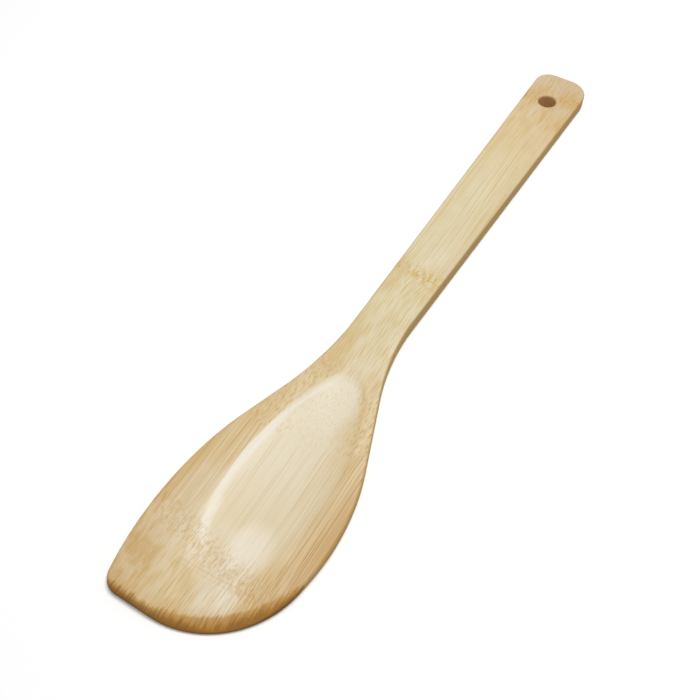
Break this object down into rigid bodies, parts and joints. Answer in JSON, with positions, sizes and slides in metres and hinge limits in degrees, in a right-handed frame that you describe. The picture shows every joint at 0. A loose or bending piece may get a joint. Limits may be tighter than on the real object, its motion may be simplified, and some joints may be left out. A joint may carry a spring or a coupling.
{
  "type": "bamboo turner",
  "caption": "One-piece bamboo turner: a flat handle with a hanging hole, and a broad thin blade with a shallow dish and a bevelled front edge that sweeps back on the right.",
  "frame": {"origin": "on the flat underside, on the handle's centre line, half way along the turner", "axes": "+Y from the blade's front edge to the handle's end, +Z from the flat underside to the dished top, +X across towards the side whose front edge sweeps back"},
  "size_m": [0.0589, 0.2999, 0.007],
  "materials": {
    "bamboo": "sanded bare bamboo, matt to satin"
  },
  "bodies": {
    "root": {"turner": "bamboo"}
  },
  "joints": []
}
